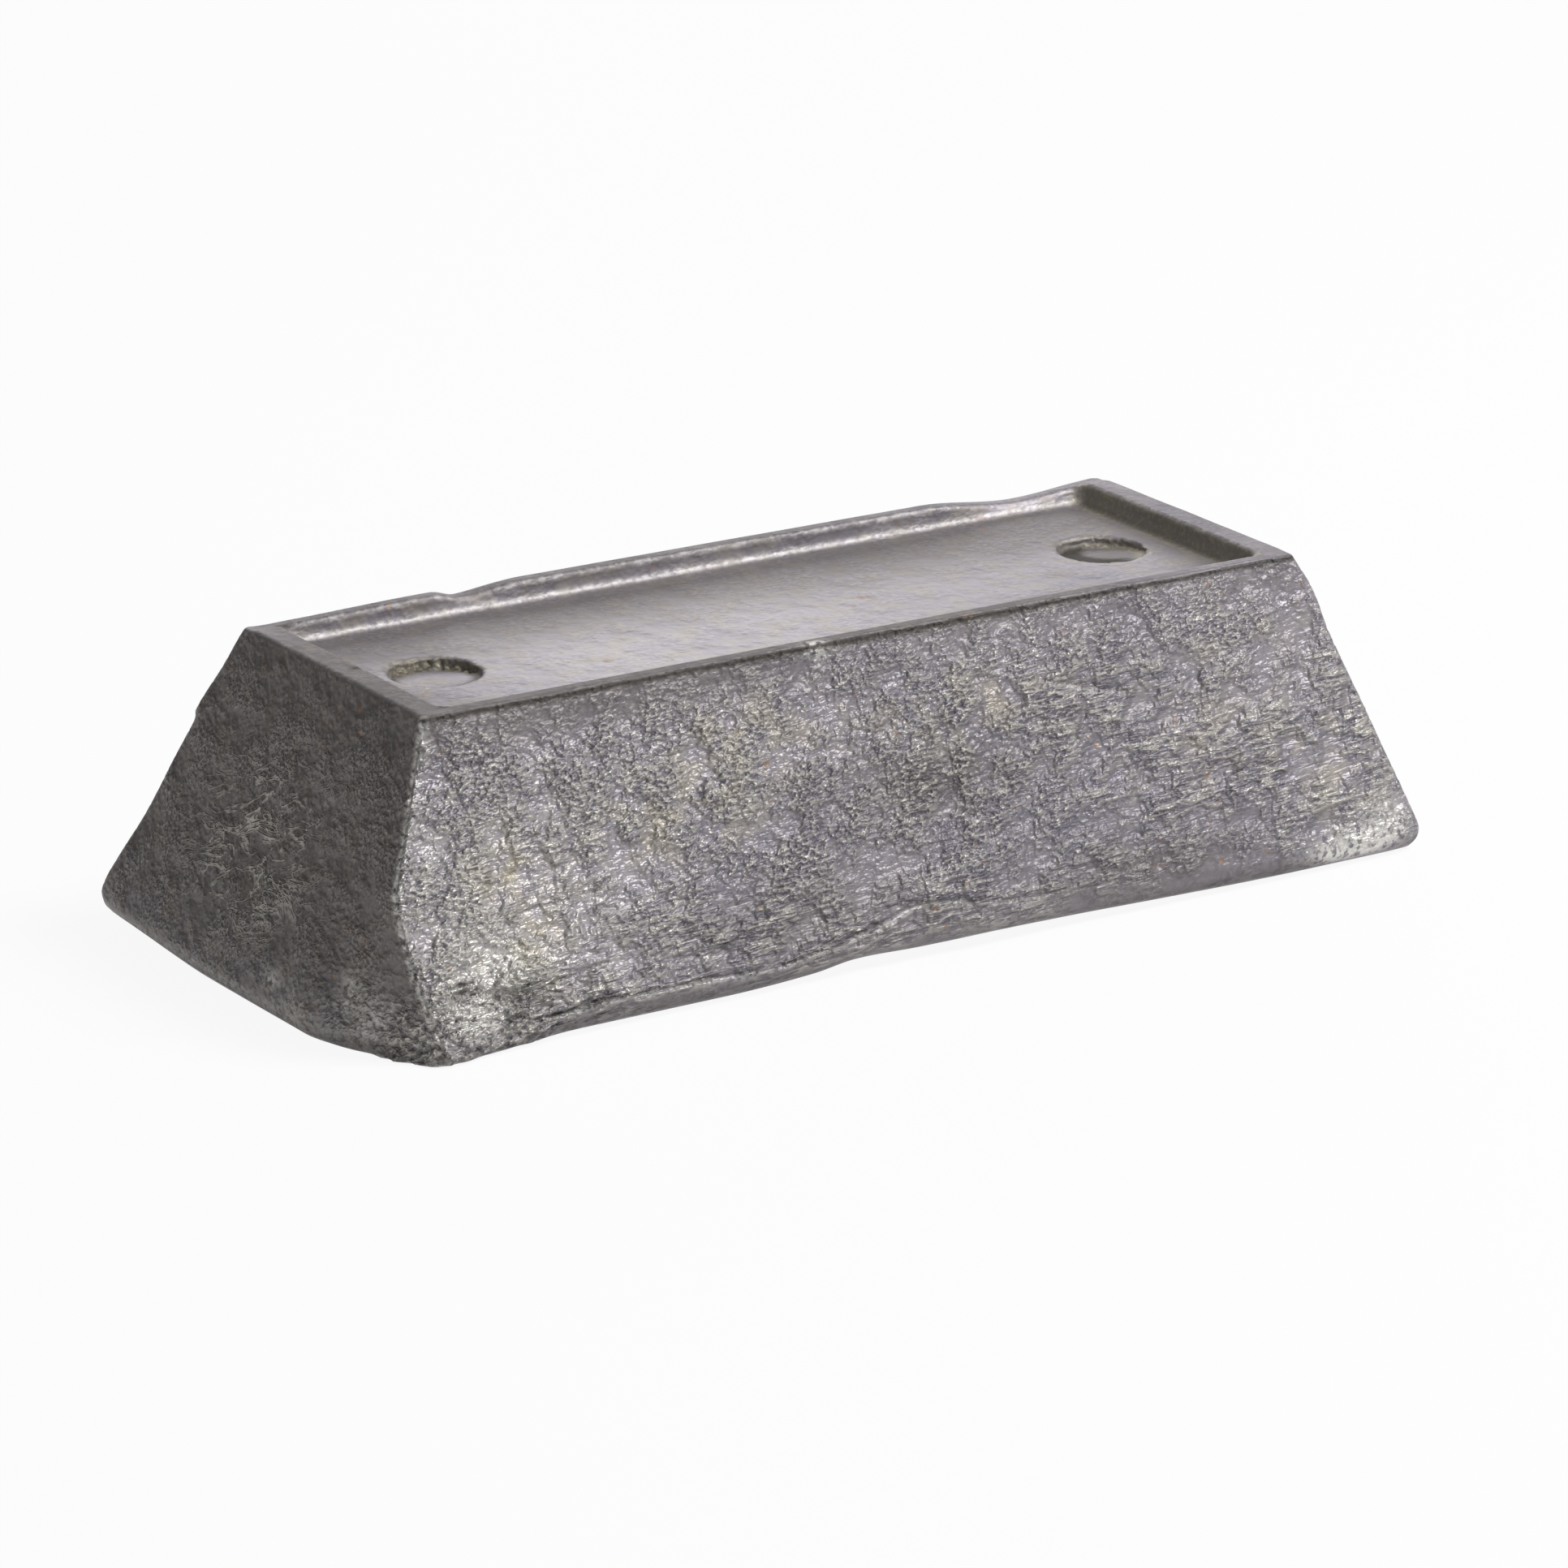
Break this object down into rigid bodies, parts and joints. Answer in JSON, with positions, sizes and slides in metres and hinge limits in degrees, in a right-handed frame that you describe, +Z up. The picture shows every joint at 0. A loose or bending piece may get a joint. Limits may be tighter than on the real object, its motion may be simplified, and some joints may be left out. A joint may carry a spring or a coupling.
{
  "type": "metal ingot",
  "caption": "Tapered cast lead ingot with a broad flat base, a shallow rimmed tray and round dimples on top; raw stock for melting, or a dead weight.",
  "frame": {"origin": "centre of the base, the broad poured face that the ingot lies on", "axes": "+X along the length, with the slumped base corner at -X -Y; +Y across the width; +Z up, towards the rimmed tray"},
  "size_m": [0.219, 0.092, 0.054],
  "materials": {
    "lead": "dull cast lead: oxidised satin grey with a grainy skin and straw-coloured tarnish"
  },
  "bodies": {
    "root": {"ingot": "lead"}
  },
  "joints": []
}
